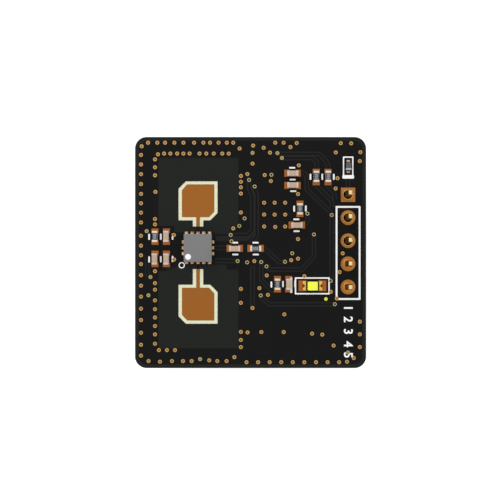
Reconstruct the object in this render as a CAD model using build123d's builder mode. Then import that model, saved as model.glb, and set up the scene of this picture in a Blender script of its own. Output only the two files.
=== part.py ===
from build123d import *
import os

os.makedirs("parts", exist_ok=True)

# Microwave radar sensor module, in millimetres. X and Y are measured from the board's centre, with the
# antennas on the left and the header on the right. Z is measured up from the tips of the header's long
# pin ends, and +Z is the way the antennas look. The antennas keep to the left edge and the header to the
# right one, and what lies on either side is placed in X from the line of its antennas or of its header.

# Small round details are drawn with this many sides
round_sides = 12

# Board
board_side = 20.0
board_thickness = 1.0
corner_radius = 1.0
mask_thickness = 0.04
copper_thickness = 0.03
print_thickness = 0.02

# Pin header along the right edge, and its plated holes
pin_count = 5
pin_pitch = 2.0
header_inset = 1.57
header_y = 1.02
pin_width = 0.5
pin_tail = 4.0
pin_tip = 1.8
tip_cut = 0.06
tip_length = 0.3
housing_width = 2.0
housing_height = 2.0
housing_notch = 0.4
hole_radius = 0.38
barrel_wall = 0.05
header_land = 1.28
header_land_sides = 16
soldered_pins = 2

# Patch antennas, one above and one below the radar chip, with a bare window round each
antenna_inset = 5.45
antenna_y = 4.475
patch_side = 2.75
patch_corner_cut = 0.45
feed_width = 0.28
window_margin = 0.32
covered_feed = 0.42

# Leadless chips: the radar chip on the front and the microcontroller on the back
chip_y = 0.41
chip_side = 2.42
chip_height = 0.75
chip_row_count = 5
chip_column_count = 3
chip_land_reach = 0.21
chip_pad_side = 1.3
terminal_pitch = 0.5
terminal_width = 0.26
terminal_length = 0.32
terminal_height = 0.2
terminal_proud = 0.02
terminal_land_width = 0.32
terminal_land_length = 0.5
chip_edge_cut = 0.05
index_dot_radius = 0.26
index_dot_inset = 0.36
controller_from_header = -6.35
controller_y = 3.28
controller_side = 4.0
controller_height = 0.85
controller_row_count = 5
controller_pad_side = 2.6

# Capacitors and resistors of the common 1.0 by 0.5 size
passive_length = 1.0
passive_width = 0.5
capacitor_height = 0.5
resistor_height = 0.35
end_cap_length = 0.2
end_cap_lip = 0.015
passive_land_spread = 1.5
passive_land_length = 0.48
passive_land_width = 0.62

# Places of the small parts: x from the antennas or from the header, y and whether it stands along Y
antenna_side_capacitors = [
    (3.18, 0.36, False),
    (-2.73, 1.37, True),
    (-2.73, -0.55, True),
    (-3.72, -0.55, True),
]
header_side_capacitors = [
    (-4.80, 6.86, False),
    (-4.80, 5.80, False),
    (-4.43, 2.38, False),
    (-5.13, -2.74, True),
]
antenna_side_resistors = [
    (4.98, 0.36, False),
    (-3.72, 1.37, True),
]
header_side_resistors = [
    (-2.75, 6.53, True),
    (-1.73, 6.53, True),
    (-4.16, 3.78, True),
    (-6.10, -2.74, True),
]
back_capacitors = [
    (-9.38, 3.90, True),
    (-5.48, 6.50, False),
    (-3.23, -1.00, False),
    (-3.23, -6.60, False),
]

# Light emitting diode
led_from_header = -3.08
led_y = -2.88
led_length = 1.68
led_width = 0.8
led_base_height = 0.2
led_lens_length = 0.86
led_lens_height = 0.36
led_lens_draft = 6
led_end_length = 0.27
led_notch_radius = 0.12
led_land_spread = 2.42
led_land_length = 0.75
led_land_width = 0.93
polarity_dot_offset_x = 1.17
polarity_dot_offset_y = -1.14
polarity_dot_radius = 0.17

# Small diode near the top of the header
diode_from_header = 0.02
diode_y = 7.42
diode_length = 0.66
diode_width = 0.42
diode_height = 0.35
diode_foot_length = 0.14
diode_foot_height = 0.05
diode_band_width = 0.13
diode_land_spread = 1.28
diode_land_length = 0.4
diode_land_width = 0.4

# Crystal and voltage regulator on the back
crystal_from_header = -6.53
crystal_y = -0.60
crystal_length = 2.5
crystal_width = 2.0
crystal_base_height = 0.35
crystal_lid_height = 0.25
crystal_lid_margin = 0.2
crystal_corner_cut = 0.2
crystal_land_length = 0.8
crystal_land_width = 0.7
regulator_from_header = -3.83
regulator_y = -3.90
regulator_length = 2.9
regulator_width = 1.6
regulator_height = 1.0
regulator_lift = 0.1
regulator_edge_cut = 0.12
lead_pitch = 0.95
lead_width = 0.4
lead_thickness = 0.15
lead_span = 2.8
lead_foot = 0.4
lead_land_length = 0.75
lead_land_width = 0.55

# Printed marks on the front
print_line = 0.17
tick_length = 0.6
tick_width = 0.19
tick_corner = 0.055
header_frame_side = 1.0
header_frame_end = 0.96
print_gap = 0.12
led_frame_gap = 0.15
diode_bar_width = 0.32
ring_offset_x = -1.45
ring_offset_y = -1.52
ring_radius = 0.30
ring_line = 0.11
antenna_side_ticks = [
    (3.20, 0.85, False),
    (4.98, 0.85, False),
    (3.23, -0.17, False),
    (5.00, -0.17, False),
    (-4.23, 1.36, True),
    (-3.22, 1.36, True),
    (-2.20, 1.37, True),
    (-4.23, -0.60, True),
    (-3.22, -0.58, True),
    (-2.20, -0.55, True),
]
header_side_ticks = [
    (-4.83, 7.33, False),
    (-4.79, 6.31, False),
    (-4.74, 5.31, False),
    (-4.47, 2.87, False),
    (-4.45, 1.85, False),
    (-3.25, 6.55, True),
    (-2.23, 6.55, True),
    (-1.23, 6.55, True),
    (-4.66, 3.79, True),
    (-3.65, 3.81, True),
    (-6.63, -2.77, True),
    (-5.63, -2.73, True),
]

# Plated through holes. A row along an edge is given by its distance from that edge and its places along
# it. The rows on the left and right are measured from the top and from the bottom, and the fence round
# the antennas keeps to them. The others are given by x and y, and next to an edge by x and the distance
# from the top or the bottom.
via_radius = 0.21
via_sides = 6
left_row_inset = 0.52
left_row_from_top = [1.56, 2.38, 3.22, 4.08, 4.93, 5.74, 6.55, 7.40, 8.55, 9.41]
left_row_from_bottom = [1.08, 2.02, 3.06, 4.16, 5.14, 6.18, 7.13, 8.04, 9.00, 9.76]
top_row_inset = 0.50
antenna_side_top_row = [-4.32, -3.52, -2.85, -2.04, -1.26, -0.34, 0.47, 1.04, 1.78, 2.50, 3.05]
header_side_top_row = [-6.30, -5.57, -4.42, -0.64, 0.27]
antenna_side_bottom_inset = 0.61
antenna_side_bottom_row = [-4.28, -3.29, -2.25, -1.30, -0.55, 0.97, 1.67, 2.47]
header_side_bottom_inset = 0.51
header_side_bottom_row = [-8.78, -7.78, -6.78, -5.78, -4.78, -3.78, -2.77, -1.77, -0.77, -0.09]
right_row_inset = 0.55
right_row_from_top = [1.30, 2.09]
right_row_from_bottom = [1.82, 2.92, 4.02]
fence_top_inset = 1.44
fence_top = [-3.47, -2.93, -2.39, -1.80, -1.26, -0.73, 0.13, 0.72, 1.36, 2.10, 2.66]
fence_left_x = -3.72
fence_left = [8.06, 7.37, 6.68, 5.26, 2.90, 2.43, -1.62, -2.65, -3.21, -4.14, -4.90, -5.62]
fence_left += [-6.36, -7.08, -7.89]
fence_bottom_inset = 1.56
fence_bottom = [-3.38, -2.69, -1.99]
fence_right_x = 3.71
fence_right = [6.62, 6.12, 5.64, 5.10, 3.46, -3.15, -4.35, -6.87, -7.56, -8.18]
thermal_pitch_x = 0.91
thermal_pitch_y = 1.03
antenna_side_ground = [
    (4.27, 6.79), (3.05, 2.09), (4.87, -0.74), (4.29, -6.91), (-2.09, 1.51), (-2.07, -0.60),
]
header_side_ground = [
    (-8.26, 7.69), (-4.26, 7.54), (-7.21, 6.70), (-6.68, 6.18), (-4.33, 5.06), (-4.33, 1.16),
    (-7.03, -1.98), (-7.67, -3.08), (-6.93, -3.66), (-8.27, -4.80), (-4.92, -0.66), (-4.33, -0.53),
    (-3.78, -2.05), (-0.91, 6.43), (-1.07, 5.54), (-0.46, -0.07), (-0.73, -1.69), (-1.50, -3.40),
    (-0.97, -3.98), (-5.51, -5.35), (-7.50, -6.88), (-5.56, -6.88), (-3.11, -7.02), (-2.23, -7.10),
    (-1.25, -8.05),
]
antenna_side_top_ground = [(-4.87, 0.81), (3.60, 1.00)]
header_side_top_ground = [(-8.21, 0.75), (-7.30, 0.94), (-6.75, 1.36), (-4.98, 0.88), (-1.06, 1.34)]
antenna_side_bottom_ground = [(3.15, 0.95)]
header_side_bottom_ground = [(0.50, 0.87)]
antenna_side_signals = [
    (4.42, 6.28), (4.03, 2.95), (3.57, 2.30), (2.83, 1.52), (2.90, 0.97), (3.43, -0.74),
    (4.25, -0.85), (-4.44, 1.85), (-4.11, -2.12), (-4.29, -3.70),
]
header_side_signals = [
    (-5.72, 8.18), (-6.63, 6.72), (-8.08, 5.71), (-7.51, -0.82), (-7.05, -1.20), (-7.55, -3.71),
    (-4.83, -0.07), (-5.45, -0.80), (-3.51, 3.36), (-1.41, 3.24), (-2.95, 1.56), (-1.14, -4.47),
    (-1.50, -2.46),
]
header_side_top_signals = [(-8.26, 1.38), (-6.11, 1.40)]
antenna_side_bottom_signals = [(0.18, 0.78)]
header_side_bottom_signals = [(0.0, 1.35)]

# Heights, from the header upwards
laminate_thickness = board_thickness - 2 * mask_thickness
board_back = pin_tail + housing_height
copper_back = board_back - copper_thickness
laminate_back = board_back + mask_thickness
laminate_front = laminate_back + laminate_thickness
board_front = laminate_front + mask_thickness
copper_front = board_front + copper_thickness
pin_top = copper_front + pin_tip

half_board = board_side / 2
antenna_x = antenna_inset - half_board
header_x = half_board - header_inset
controller_x = header_x + controller_from_header
led_x = header_x + led_from_header
diode_x = header_x + diode_from_header
crystal_x = header_x + crystal_from_header
regulator_x = header_x + regulator_from_header
pin_places = [header_y + ((pin_count - 1) / 2 - i) * pin_pitch for i in range(pin_count)]
barrel_radius = hole_radius + barrel_wall
chip_land_span = chip_side + 2 * chip_land_reach
controller_land_span = controller_side + 2 * chip_land_reach


def on_board(antenna_side, header_side):
    # places given from the line of the antennas or of the header, in the board's own X and Y
    places = [(antenna_x + x, *rest) for x, *rest in antenna_side]
    places += [(header_x + x, *rest) for x, *rest in header_side]
    return places


def from_top(places):
    return [(x, half_board - inset) for x, inset in places]


def from_bottom(places):
    return [(x, inset - half_board) for x, inset in places]


def front_seat(x, y, upright=False):
    # a part's plane on the front copper, with its length along X, or along Y where it stands upright
    return Plane((x, y, copper_front), x_dir=(0, 1, 0) if upright else (1, 0, 0), z_dir=(0, 0, 1))


def back_seat(x, y, upright=False):
    # the same on the back copper, looking away from the board
    return Plane((x, y, copper_back), x_dir=(0, 1, 0) if upright else (-1, 0, 0), z_dir=(0, 0, -1))


def pair(spread, length, width):
    # two end rectangles of a part, as x, y, width and height about its centre
    reach = (spread - length) / 2
    return [(-reach, 0, length, width), (reach, 0, length, width)]


def ring(across, up, span, length, width, pad_side):
    # rectangles under a leadless chip: its square pad, a row above and below and a column on each side
    reach = (span - length) / 2
    places = [(0, 0, pad_side, pad_side)]
    for side in (-1, 1):
        for i in range(across):
            places.append(((i - (across - 1) / 2) * terminal_pitch, side * reach, width, length))
        for i in range(up):
            places.append((side * reach, (i - (up - 1) / 2) * terminal_pitch, length, width))
    return places


def set_down(rectangles, x, y, upright=False):
    # a part's rectangles in the board's own X and Y
    if upright:
        return [(x - v, y + u, height, width) for u, v, width, height in rectangles]
    return [(x + u, y + v, width, height) for u, v, width, height in rectangles]


def draw(rectangles, mode=Mode.ADD):
    # draws all the rectangles in the open sketch at once
    shapes = [Pos(x, y) * Rectangle(width, height, mode=Mode.PRIVATE) for x, y, width, height in rectangles]
    add(shapes, mode=mode)


def save(piece, name):
    piece.part.label = name
    export_step(piece.part, f"parts/{name}.step")


capacitor_places = on_board(antenna_side_capacitors, header_side_capacitors)
resistor_places = on_board(antenna_side_resistors, header_side_resistors)
back_capacitor_places = on_board([], back_capacitors)

# Lands of every part, on the front and on the back
passive_lands = pair(passive_land_spread, passive_land_length, passive_land_width)
chip_lands = ring(
    chip_row_count,
    chip_column_count,
    chip_land_span,
    terminal_land_length,
    terminal_land_width,
    chip_pad_side,
)
front_lands = set_down(chip_lands, antenna_x, chip_y)
for x, y, upright in capacitor_places + resistor_places:
    front_lands += set_down(passive_lands, x, y, upright)
front_lands += set_down(pair(led_land_spread, led_land_length, led_land_width), led_x, led_y)
front_lands += set_down(
    pair(diode_land_spread, diode_land_length, diode_land_width), diode_x, diode_y, True
)

controller_lands = ring(
    controller_row_count,
    controller_row_count,
    controller_land_span,
    terminal_land_length,
    terminal_land_width,
    controller_pad_side,
)
back_lands = set_down(controller_lands, controller_x, controller_y)
for x, y, upright in back_capacitor_places:
    back_lands += set_down(passive_lands, x, y, upright)
crystal_ends = pair(crystal_length, crystal_land_length, crystal_land_width)
for side in (-1, 1):
    crystal_row = crystal_y + side * (crystal_width - crystal_land_width) / 2
    back_lands += set_down(crystal_ends, crystal_x, crystal_row)
lead_rows = [(-lead_pitch, -1), (0, -1), (lead_pitch, -1), (-lead_pitch, 1), (lead_pitch, 1)]
lead_land_reach = (lead_span - lead_foot) / 2
for along, side in lead_rows:
    land_y = regulator_y + side * lead_land_reach
    back_lands.append((regulator_x - along, land_y, lead_land_width, lead_land_length))

header_points = [(header_x, y) for y in pin_places]


def drilled_board(level, thickness, windows=()):
    # one layer of the board, drilled for the header and open over any windows
    with BuildPart() as layer:
        with BuildSketch(Plane.XY.offset(level)):
            RectangleRounded(board_side, board_side, corner_radius)
            with Locations(*header_points):
                RegularPolygon(barrel_radius, round_sides, mode=Mode.SUBTRACT)
            if windows:
                add(windows, mode=Mode.SUBTRACT)
        extrude(amount=thickness)
    return layer


# Laminate core: the glass fibre board itself
laminate_core = drilled_board(laminate_back, laminate_thickness)
save(laminate_core, "laminate_core")


def antenna_outline(side, margin):
    # one patch with two corners cut, and its feed line running to the covered stretch at the chip. The
    # margin makes the window round it: the patch grows on every side, the feed only in width.
    patch_y = side * antenna_y
    feed_end = chip_y + side * (chip_land_span / 2 + covered_feed)
    feed_start = patch_y - side * patch_side / 2
    with BuildSketch() as outline:
        with Locations((antenna_x, patch_y)):
            Rectangle(patch_side, patch_side)
        far = outline.vertices().sort_by(lambda v: side * v.Y - v.X)[-1]
        near = outline.vertices().sort_by(lambda v: side * v.Y - v.X)[0]
        chamfer([far, near], patch_corner_cut)
        if margin > 0:
            offset(amount=margin, kind=Kind.INTERSECTION)
        with Locations((antenna_x, (feed_start + feed_end) / 2)):
            Rectangle(feed_width + 2 * margin, abs(feed_start - feed_end))
    return outline.sketch


upper_antenna_shape = antenna_outline(1, 0)
lower_antenna_shape = antenna_outline(-1, 0)
window_shapes = [antenna_outline(1, window_margin), antenna_outline(-1, window_margin)]

# Solder masks: thin black skins on both faces, the front one open over the antennas
front_mask = drilled_board(laminate_front, mask_thickness, window_shapes)
save(front_mask, "front_mask")

back_mask = drilled_board(board_back, mask_thickness)
save(back_mask, "back_mask")

# Antennas: bare copper with its feed line
with BuildPart() as upper_antenna:
    with BuildSketch(Plane.XY.offset(laminate_front)):
        add(upper_antenna_shape)
    extrude(amount=copper_thickness)
save(upper_antenna, "upper_antenna")

with BuildPart() as lower_antenna:
    with BuildSketch(Plane.XY.offset(laminate_front)):
        add(lower_antenna_shape)
    extrude(amount=copper_thickness)
save(lower_antenna, "lower_antenna")

# Copper lands of the small parts on both faces
with BuildPart() as component_lands:
    with BuildSketch(Plane.XY.offset(board_front)):
        draw(front_lands)
    extrude(amount=copper_thickness)
save(component_lands, "component_lands")

with BuildPart() as back_component_lands:
    with BuildSketch(Plane.XY.offset(copper_back)):
        draw(back_lands)
    extrude(amount=copper_thickness)
save(back_component_lands, "back_component_lands")

# Plated through holes: the cap of each on the front mask
antenna_side_top = antenna_side_top_ground + [(x, top_row_inset) for x in antenna_side_top_row]
antenna_side_top += [(x, fence_top_inset) for x in fence_top]
header_side_top = header_side_top_ground + [(x, top_row_inset) for x in header_side_top_row]
antenna_side_bottom = antenna_side_bottom_ground + [(x, fence_bottom_inset) for x in fence_bottom]
antenna_side_bottom += [(x, antenna_side_bottom_inset) for x in antenna_side_bottom_row]
header_side_bottom = header_side_bottom_ground[:]
header_side_bottom += [(x, header_side_bottom_inset) for x in header_side_bottom_row]
fence_points = [(fence_left_x, y) for y in fence_left] + [(fence_right_x, y) for y in fence_right]
left_row_x = left_row_inset - half_board
right_row_x = half_board - right_row_inset
ground_points = on_board(antenna_side_ground + fence_points, header_side_ground)
ground_points += on_board(from_top(antenna_side_top), from_top(header_side_top))
ground_points += on_board(from_bottom(antenna_side_bottom), from_bottom(header_side_bottom))
ground_points += from_top([(left_row_x, inset) for inset in left_row_from_top])
ground_points += from_bottom([(left_row_x, inset) for inset in left_row_from_bottom])
ground_points += from_top([(right_row_x, inset) for inset in right_row_from_top])
ground_points += from_bottom([(right_row_x, inset) for inset in right_row_from_bottom])
for i in (-1, 0, 1):
    for j in (-1, 0, 1):
        ground_points.append((controller_x + i * thermal_pitch_x, controller_y + j * thermal_pitch_y))
signal_points = on_board(antenna_side_signals, header_side_signals)
signal_points += on_board([], from_top(header_side_top_signals))
signal_points += on_board(from_bottom(antenna_side_bottom_signals), from_bottom(header_side_bottom_signals))

with BuildPart() as ground_vias:
    with BuildSketch(Plane.XY.offset(board_front)):
        with Locations(*ground_points):
            RegularPolygon(via_radius, via_sides)
    extrude(amount=print_thickness)
save(ground_vias, "ground_vias")

with BuildPart() as signal_vias:
    with BuildSketch(Plane.XY.offset(board_front)):
        with Locations(*signal_points):
            RegularPolygon(via_radius, via_sides)
    extrude(amount=print_thickness)
save(signal_vias, "signal_vias")

# Printed white marks. They stop at the plated holes, which stay bare.
with BuildSketch() as bare_holes:
    with Locations(*(ground_points + signal_points)):
        RegularPolygon(via_radius, via_sides)

with BuildSketch() as tick_shape:
    Rectangle(tick_length, tick_width)
    chamfer(tick_shape.vertices(), tick_corner)

with BuildPart() as printed_ticks:
    with BuildSketch(Plane.XY.offset(board_front)):
        for x, y, upright in on_board(antenna_side_ticks, header_side_ticks):
            with Locations(Location((x, y), 90 if upright else 0)):
                add(tick_shape.sketch)
        add(bare_holes.sketch, mode=Mode.SUBTRACT)
    extrude(amount=print_thickness)
save(printed_ticks, "printed_ticks")


def frame_lines(x, y, width, height):
    # a printed frame, given by the centres of its lines
    with Locations((x, y)):
        Rectangle(width + print_line, height + print_line)
        Rectangle(width - print_line, height - print_line, mode=Mode.SUBTRACT)


frame_top = pin_places[1] + header_frame_end
frame_bottom = pin_places[-1] - header_frame_end
frame_middle = (frame_top + frame_bottom) / 2
led_frame_length = led_land_spread + 2 * led_frame_gap + print_line
led_frame_width = led_land_width + 2 * print_gap + print_line
diode_frame_top = diode_y + diode_land_spread / 2 + print_gap
diode_frame_bottom = diode_y - diode_land_spread / 2 - print_gap
diode_frame_width = diode_land_width + 2 * (print_gap + print_line)
with BuildPart() as printed_frames:
    with BuildSketch(Plane.XY.offset(board_front)):
        frame_lines(header_x, frame_middle, 2 * header_frame_side, frame_top - frame_bottom)
        frame_lines(led_x, led_y, led_frame_length, led_frame_width)
        frame_lines(
            diode_x,
            (diode_frame_top + diode_frame_bottom) / 2,
            diode_frame_width - print_line,
            diode_frame_top - diode_frame_bottom + print_line,
        )
        with Locations((diode_x, diode_frame_bottom - diode_bar_width / 2)):
            Rectangle(diode_frame_width, diode_bar_width)
        with Locations((antenna_x + ring_offset_x, chip_y + ring_offset_y)):
            RegularPolygon(ring_radius, round_sides)
            RegularPolygon(ring_radius - ring_line, round_sides, mode=Mode.SUBTRACT)
        add(bare_holes.sketch, mode=Mode.SUBTRACT)
    extrude(amount=print_thickness)
save(printed_frames, "printed_frames")

# Plated header holes: a barrel through the board with a land on the front, square on the first one
def barrels(name, places, square):
    with BuildPart() as plating:
        with BuildSketch(Plane.XY.offset(board_back)):
            with Locations(*places):
                RegularPolygon(barrel_radius, round_sides)
        extrude(amount=board_thickness)
        with BuildSketch(Plane.XY.offset(board_front)):
            with Locations(*places):
                if square:
                    Rectangle(header_land, header_land)
                else:
                    RegularPolygon(header_land / 2, header_land_sides)
        extrude(amount=copper_thickness)
        with BuildSketch(Plane.XY.offset(board_back)):
            with Locations(*places):
                RegularPolygon(hole_radius, round_sides)
        extrude(amount=copper_front - board_back, mode=Mode.SUBTRACT)
    save(plating, name)


barrels("square_header_hole", header_points[:1], True)
barrels("round_header_holes", header_points[1:], False)

# Solder that fills the last holes round their pins, flush with the front lands
with BuildPart() as header_solder:
    with BuildSketch(Plane.XY.offset(board_back)):
        with Locations(*header_points[-soldered_pins:]):
            RegularPolygon(hole_radius, round_sides)
            Rectangle(pin_width, pin_width, mode=Mode.SUBTRACT)
    extrude(amount=copper_front - board_back)
save(header_solder, "header_solder")

# Header strip: one body of cells with notched corners, seated on the board's back
with BuildSketch() as header_cell:
    Rectangle(housing_width, pin_pitch)
    chamfer(header_cell.vertices(), housing_notch)

with BuildPart() as header_housing:
    with BuildSketch(Plane.XY.offset(pin_tail)):
        with Locations(*header_points):
            add(header_cell.sketch)
            Rectangle(pin_width, pin_width, mode=Mode.SUBTRACT)
    extrude(amount=housing_height)
save(header_housing, "header_housing")

# Header pins: square wire with both ends tapered
for number, (x, y) in enumerate(header_points, 1):
    with BuildPart() as header_pin:
        with BuildSketch(Plane((x, y, tip_length))):
            Rectangle(pin_width, pin_width)
        extrude(amount=pin_top - 2 * tip_length)
        for start, end in ((tip_length, 0), (pin_top - tip_length, pin_top)):
            with BuildSketch(Plane((x, y, start))):
                Rectangle(pin_width, pin_width)
            with BuildSketch(Plane((x, y, end))):
                Rectangle(pin_width - 2 * tip_cut, pin_width - 2 * tip_cut)
            loft()
    save(header_pin, f"header_pin_{number}")

# Capacitors and resistors: a ceramic body between two metal end caps, which stand on the lands
def passive_body(seat, height, name):
    with BuildPart() as body:
        with BuildSketch(seat.offset(end_cap_lip)):
            Rectangle(passive_length - 2 * end_cap_length, passive_width - 2 * end_cap_lip)
        extrude(amount=height - 2 * end_cap_lip)
    save(body, name)


def end_caps(seats, height, name):
    with BuildPart() as caps:
        for seat in seats:
            with BuildSketch(seat):
                draw(pair(passive_length, end_cap_length, passive_width))
            extrude(amount=height)
    save(caps, name)


capacitor_seats = [front_seat(*place) for place in capacitor_places]
back_capacitor_seats = [back_seat(*place) for place in back_capacitor_places]
resistor_seats = [front_seat(*place) for place in resistor_places]
for number, seat in enumerate(capacitor_seats + back_capacitor_seats, 1):
    passive_body(seat, capacitor_height, f"capacitor_{number}")
for number, seat in enumerate(resistor_seats, 1):
    passive_body(seat, resistor_height, f"resistor_{number}")
end_caps(capacitor_seats, capacitor_height, "capacitor_end_caps")
end_caps(back_capacitor_seats, capacitor_height, "back_capacitor_end_caps")
end_caps(resistor_seats, resistor_height, "resistor_end_caps")


# Leadless chips: a moulded body with flat terminals and a pad let into its underside
def leadless_chip(seat, name, side, height, across, up, pad_side):
    terminals = ring(across, up, side + 2 * terminal_proud, terminal_length, terminal_width, pad_side)
    with BuildPart() as body:
        with BuildSketch(seat.offset(terminal_proud)):
            Rectangle(side, side)
        extrude(amount=height - terminal_proud)
        top = body.faces().sort_by(Axis(seat.origin, seat.z_dir))[-1]
        chamfer(top.edges(), chip_edge_cut)
        with BuildSketch(seat):
            draw(terminals)
        extrude(amount=terminal_height, mode=Mode.SUBTRACT)
    save(body, name)
    with BuildPart() as metal:
        with BuildSketch(seat):
            draw(terminals)
        extrude(amount=terminal_height)
    save(metal, f"{name}_terminals")


chip_seat = front_seat(antenna_x, chip_y)
leadless_chip(
    chip_seat,
    "radar_chip",
    chip_side,
    chip_height,
    chip_row_count,
    chip_column_count,
    chip_pad_side,
)
leadless_chip(
    back_seat(controller_x, controller_y),
    "microcontroller",
    controller_side,
    controller_height,
    controller_row_count,
    controller_row_count,
    controller_pad_side,
)

# White dot on the radar chip beside its first terminal
index_dot_place = index_dot_inset - chip_side / 2
with BuildPart() as chip_index_dot:
    with BuildSketch(chip_seat.offset(chip_height)):
        with Locations((index_dot_place, index_dot_place)):
            RegularPolygon(index_dot_radius, round_sides)
    extrude(amount=print_thickness)
save(chip_index_dot, "chip_index_dot")

# Light emitting diode: gold ends with a half round notch, a small base board and the yellow lens
led_seat = front_seat(led_x, led_y)
with BuildPart() as led_base:
    with BuildSketch(led_seat):
        Rectangle(led_length - 2 * led_end_length, led_width)
    extrude(amount=led_base_height)
save(led_base, "led_base")

with BuildPart() as led_terminals:
    with BuildSketch(led_seat):
        draw(pair(led_length, led_end_length, led_width))
        with Locations((-led_length / 2, 0), (led_length / 2, 0)):
            RegularPolygon(led_notch_radius, round_sides, mode=Mode.SUBTRACT)
    extrude(amount=led_base_height)
save(led_terminals, "led_terminals")

with BuildPart() as led_lens:
    with BuildSketch(led_seat.offset(led_base_height)):
        Rectangle(led_lens_length, led_width)
    extrude(amount=led_lens_height, taper=led_lens_draft)
save(led_lens, "led_lens")

with BuildPart() as polarity_dot:
    with BuildSketch(Plane.XY.offset(board_front)):
        with Locations((led_x + polarity_dot_offset_x, led_y + polarity_dot_offset_y)):
            RegularPolygon(polarity_dot_radius, round_sides)
    extrude(amount=print_thickness)
save(polarity_dot, "polarity_dot")

# Small diode: a moulded body on two flat feet, with a white band at its cathode
diode_seat = front_seat(diode_x, diode_y, True)
with BuildPart() as diode_body:
    with BuildSketch(diode_seat.offset(diode_foot_height)):
        Rectangle(diode_length, diode_width)
    extrude(amount=diode_height - diode_foot_height)
save(diode_body, "diode_body")

with BuildPart() as diode_feet:
    with BuildSketch(diode_seat):
        draw(pair(diode_length, diode_foot_length, diode_width))
    extrude(amount=diode_foot_height)
save(diode_feet, "diode_feet")

with BuildPart() as diode_band:
    with BuildSketch(diode_seat.offset(diode_height)):
        with Locations(((diode_band_width - diode_length) / 2, 0)):
            Rectangle(diode_band_width, diode_width)
    extrude(amount=print_thickness)
save(diode_band, "diode_band")

# Crystal: a ceramic base with a metal lid
crystal_seat = back_seat(crystal_x, crystal_y)
with BuildPart() as crystal_base:
    with BuildSketch(crystal_seat) as crystal_outline:
        Rectangle(crystal_length, crystal_width)
        chamfer(crystal_outline.vertices(), crystal_corner_cut)
    extrude(amount=crystal_base_height)
save(crystal_base, "crystal_base")

crystal_lid_length = crystal_length - 2 * crystal_lid_margin
crystal_lid_width = crystal_width - 2 * crystal_lid_margin
with BuildPart() as crystal_lid:
    with BuildSketch(crystal_seat.offset(crystal_base_height)) as lid_outline:
        Rectangle(crystal_lid_length, crystal_lid_width)
        chamfer(lid_outline.vertices(), crystal_corner_cut)
    extrude(amount=crystal_lid_height)
save(crystal_lid, "crystal_lid")

# Voltage regulator: a moulded body held off the board by bent leads
regulator_seat = back_seat(regulator_x, regulator_y)
with BuildPart() as regulator_body:
    with BuildSketch(regulator_seat.offset(regulator_lift)):
        Rectangle(regulator_length, regulator_width)
    extrude(amount=regulator_height)
    outer_face = regulator_body.faces().sort_by(Axis.Z)[0]
    chamfer(outer_face.edges(), regulator_edge_cut)
save(regulator_body, "regulator_body")

lead_end = lead_span / 2
lead_heel = lead_end - lead_foot
lead_shoulder = regulator_lift + (regulator_height - lead_thickness) / 2
with BuildPart() as regulator_leads:
    for along, side in lead_rows:
        lead_plane = Plane(
            (regulator_x - along, regulator_y, copper_back), x_dir=(0, side, 0), z_dir=(-side, 0, 0)
        )
        with BuildSketch(lead_plane):
            with BuildLine():
                Polyline(
                    (lead_end, 0),
                    (lead_end, lead_thickness),
                    (lead_heel + lead_thickness, lead_thickness),
                    (lead_heel + lead_thickness, lead_shoulder + lead_thickness),
                    (regulator_width / 2, lead_shoulder + lead_thickness),
                    (regulator_width / 2, lead_shoulder),
                    (lead_heel, lead_shoulder),
                    (lead_heel, 0),
                    close=True,
                )
            make_face()
        extrude(amount=lead_width / 2, both=True)
save(regulator_leads, "regulator_leads")
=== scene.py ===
import math
import bmesh
import bpy
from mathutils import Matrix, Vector


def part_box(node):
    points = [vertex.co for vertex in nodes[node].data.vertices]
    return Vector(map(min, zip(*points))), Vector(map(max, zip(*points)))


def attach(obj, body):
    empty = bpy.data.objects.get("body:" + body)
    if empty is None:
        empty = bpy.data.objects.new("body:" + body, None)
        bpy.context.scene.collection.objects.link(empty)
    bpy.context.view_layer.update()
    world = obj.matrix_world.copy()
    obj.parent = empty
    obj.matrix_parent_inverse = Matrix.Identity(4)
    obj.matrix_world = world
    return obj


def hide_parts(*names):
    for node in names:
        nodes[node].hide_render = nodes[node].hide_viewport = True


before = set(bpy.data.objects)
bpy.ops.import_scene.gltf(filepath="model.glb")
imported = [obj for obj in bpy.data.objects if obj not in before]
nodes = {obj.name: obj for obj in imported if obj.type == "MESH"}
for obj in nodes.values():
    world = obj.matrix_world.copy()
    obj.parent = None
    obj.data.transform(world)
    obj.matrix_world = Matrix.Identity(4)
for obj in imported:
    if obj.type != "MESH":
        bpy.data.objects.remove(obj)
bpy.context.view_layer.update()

mm = 0.001
tiny = 1e-7
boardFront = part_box("front_mask")[1].z
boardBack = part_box("back_mask")[0].z
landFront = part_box("component_lands")[1].z


# selecting and placing

def selectOnly(*pieces):
    bpy.ops.object.select_all(action="DESELECT")
    for piece in pieces:
        piece.select_set(True)
    bpy.context.view_layer.objects.active = pieces[0]


def editing(on):
    bpy.ops.object.mode_set(mode="EDIT" if on else "OBJECT")


def turnOutward():
    # in edit mode: every normal outward
    bpy.ops.mesh.select_all(action="SELECT")
    bpy.ops.mesh.normals_make_consistent(inside=False)


def pick(piece, kind, test):
    # in edit mode: selects the verts, edges or faces that pass the test
    bpy.context.tool_settings.mesh_select_mode = (kind == "verts", kind == "edges", kind == "faces")
    bpy.ops.mesh.select_all(action="DESELECT")
    shape = bmesh.from_edit_mesh(piece.data)
    for part in getattr(shape, kind):
        if test(part):
            part.select_set(True)
    bmesh.update_edit_mesh(piece.data)


def settle(piece):
    # puts the place, turn and size into the mesh, so the object sits at the origin
    selectOnly(piece)
    bpy.ops.object.transform_apply(location=True, rotation=True, scale=True)


def smooth(piece):
    selectOnly(piece)
    bpy.ops.object.shade_smooth_by_angle(angle=math.radians(35))


def coat(piece, *looks):
    piece.data.materials.clear()
    for look in looks:
        piece.data.materials.append(finishes[look])


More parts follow.
